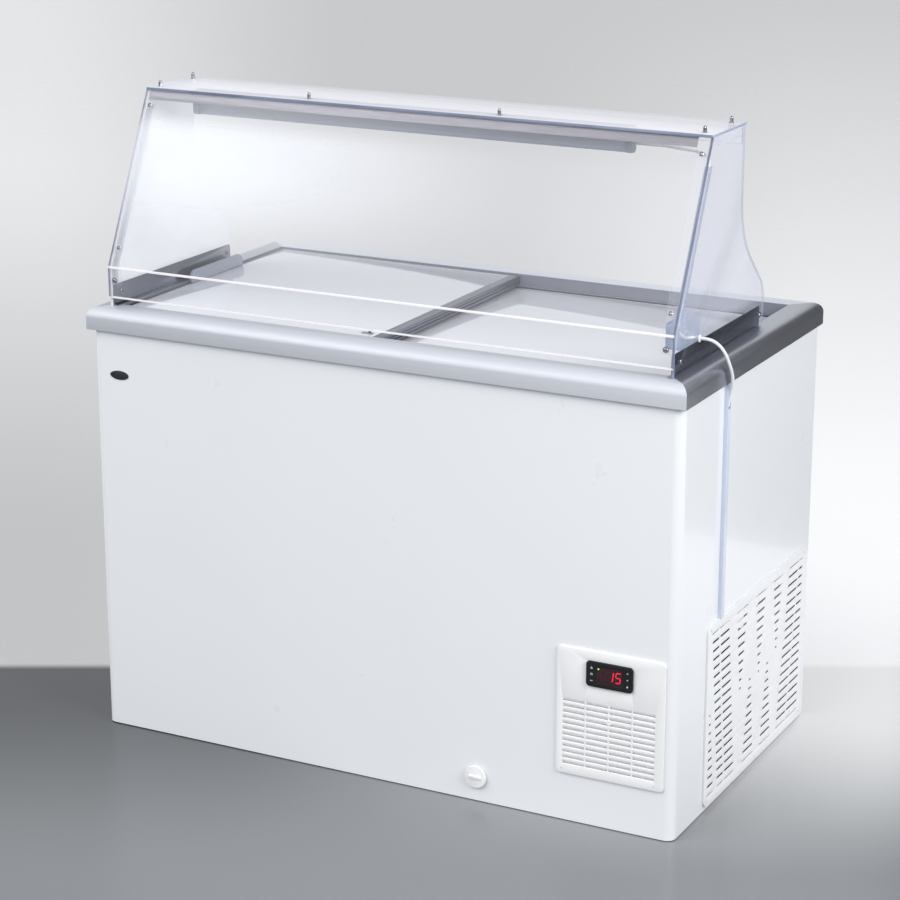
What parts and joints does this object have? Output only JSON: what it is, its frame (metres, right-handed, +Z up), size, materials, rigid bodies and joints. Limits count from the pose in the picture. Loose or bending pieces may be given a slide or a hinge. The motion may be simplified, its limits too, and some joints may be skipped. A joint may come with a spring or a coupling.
{
  "type": "ice cream dipping cabinet",
  "caption": "Insulated chest freezer with sliding glass lids, a clear slanted serving guard with lamp, front thermostat panel and side vent grille.",
  "frame": {"origin": "on the floor, under the middle of the rim's outline", "axes": "+Z up, front towards -Y, +X towards the end with the thermostat panel and the vent grille"},
  "size_m": [1.2646, 0.698, 1.2796],
  "materials": {
    "white_paint": "gloss",
    "galvanised": "satin",
    "foam": "matte",
    "liner_aluminium": "satin",
    "copper_tube": "satin",
    "rim_aluminium": "satin",
    "grey_track": "satin",
    "foot_plastic": "matte",
    "white_plastic": "satin",
    "white_wire": "gloss",
    "lid_grey": "satin",
    "lid_glass": "polished",
    "clear_acrylic": "polished",
    "stainless": "satin",
    "fasteners": "polished",
    "rail_aluminium": "satin",
    "lamp_body": "satin",
    "lamp_diffuser": "satin",
    "cord_white": "satin",
    "black_plastic": "satin",
    "window_tint": "polished",
    "key_grey": "matte",
    "badge_grey": "satin",
    "compressor_black": "satin",
    "rubber": "matte",
    "fin_aluminium": "satin"
  },
  "bodies": {
    "cabinet": {"base_pan": "galvanised", "cable_channel": "clear_acrylic", "compressor": "compressor_black", "compressor_mounts": "rubber", "condenser": "fin_aluminium", "control_panel": "white_plastic", "controller_case": "black_plastic", "cord_trunking": "white_plastic", "corner_strips": "clear_acrylic", "display_window": "window_tint", "drain_collar": "white_plastic", "drain_tube": "white_plastic", "end_trims": "grey_track", "evaporator_coil": "copper_tube", "fan_motor": "compressor_black", "fan_shroud": "galvanised", "foam_insulation": "foam", "front_badge": "badge_grey", "front_rail": "rail_aluminium", "guard_brackets": "stainless", "guard_cap_nuts": "fasteners", "guard_front": "clear_acrylic", "guard_screws": "fasteners", "guard_side_left": "clear_acrylic", "guard_side_right": "clear_acrylic", "guard_top": "clear_acrylic", "inner_liner": "liner_aluminium", "lead_cover": "clear_acrylic", "lead_grommet": "cord_white", "levelling_feet": "foot_plastic", "lid_tracks": "grey_track", "light_cord": "cord_white", "light_diffuser": "lamp_diffuser", "light_end_caps": "lamp_body", "light_housing": "lamp_body", "light_lead": "cord_white", "outer_shell": "white_paint", "panel_screws": "fasteners", "power_gland": "black_plastic", "rear_panel": "white_paint", "refrigerant_pipes": "copper_tube", "rim_front": "rim_aluminium", "rim_left": "rim_aluminium", "rim_rear": "rim_aluminium", "rim_right": "rim_aluminium", "side_grille": "white_plastic", "storage_rack": "white_wire", "top_strips": "clear_acrylic"},
    "upper_lid": {"upper_lid_frame": "lid_grey", "upper_lid_glass": "lid_glass", "upper_lid_handle": "lid_grey", "lid_catch": "stainless"},
    "lower_lid": {"lower_lid_frame": "lid_grey", "lower_lid_glass": "lid_glass", "lower_lid_grip": "lid_grey"},
    "up_key": {"key_up": "key_grey"},
    "down_key": {"key_down": "key_grey"},
    "power_key": {"key_power": "key_grey"},
    "fan": {"fan_rotor": "black_plastic"},
    "cap": {"drain_cap": "white_plastic"}
  },
  "joints": [
    {"name": "upper_lid_slide", "type": "slide", "parent": "cabinet", "child": "upper_lid", "axis": [1, 0, 0], "range_m": [0, 0.573]},
    {"name": "lower_lid_slide", "type": "slide", "parent": "cabinet", "child": "lower_lid", "axis": [-1, 0, 0], "range_m": [0, 0.533]},
    {"name": "up_key_press", "type": "slide", "parent": "cabinet", "child": "up_key", "axis": [0, 1, 0], "range_m": [0, 0.0005], "stiffness_N_per_m": 400},
    {"name": "down_key_press", "type": "slide", "parent": "cabinet", "child": "down_key", "axis": [0, 1, 0], "range_m": [0, 0.0005], "stiffness_N_per_m": 400},
    {"name": "power_key_press", "type": "slide", "parent": "cabinet", "child": "power_key", "axis": [0, 1, 0], "range_m": [0, 0.0005], "stiffness_N_per_m": 400},
    {"name": "fan_spin", "type": "hinge", "parent": "cabinet", "child": "fan", "pos_m": [0.542, -0.06, 0.175], "axis": [1, 0, 0], "continuous": true},
    {"name": "drain_cap_pull", "type": "slide", "parent": "cabinet", "child": "cap", "axis": [0, -1, 0], "range_m": [0, 0.03]}
  ]
}
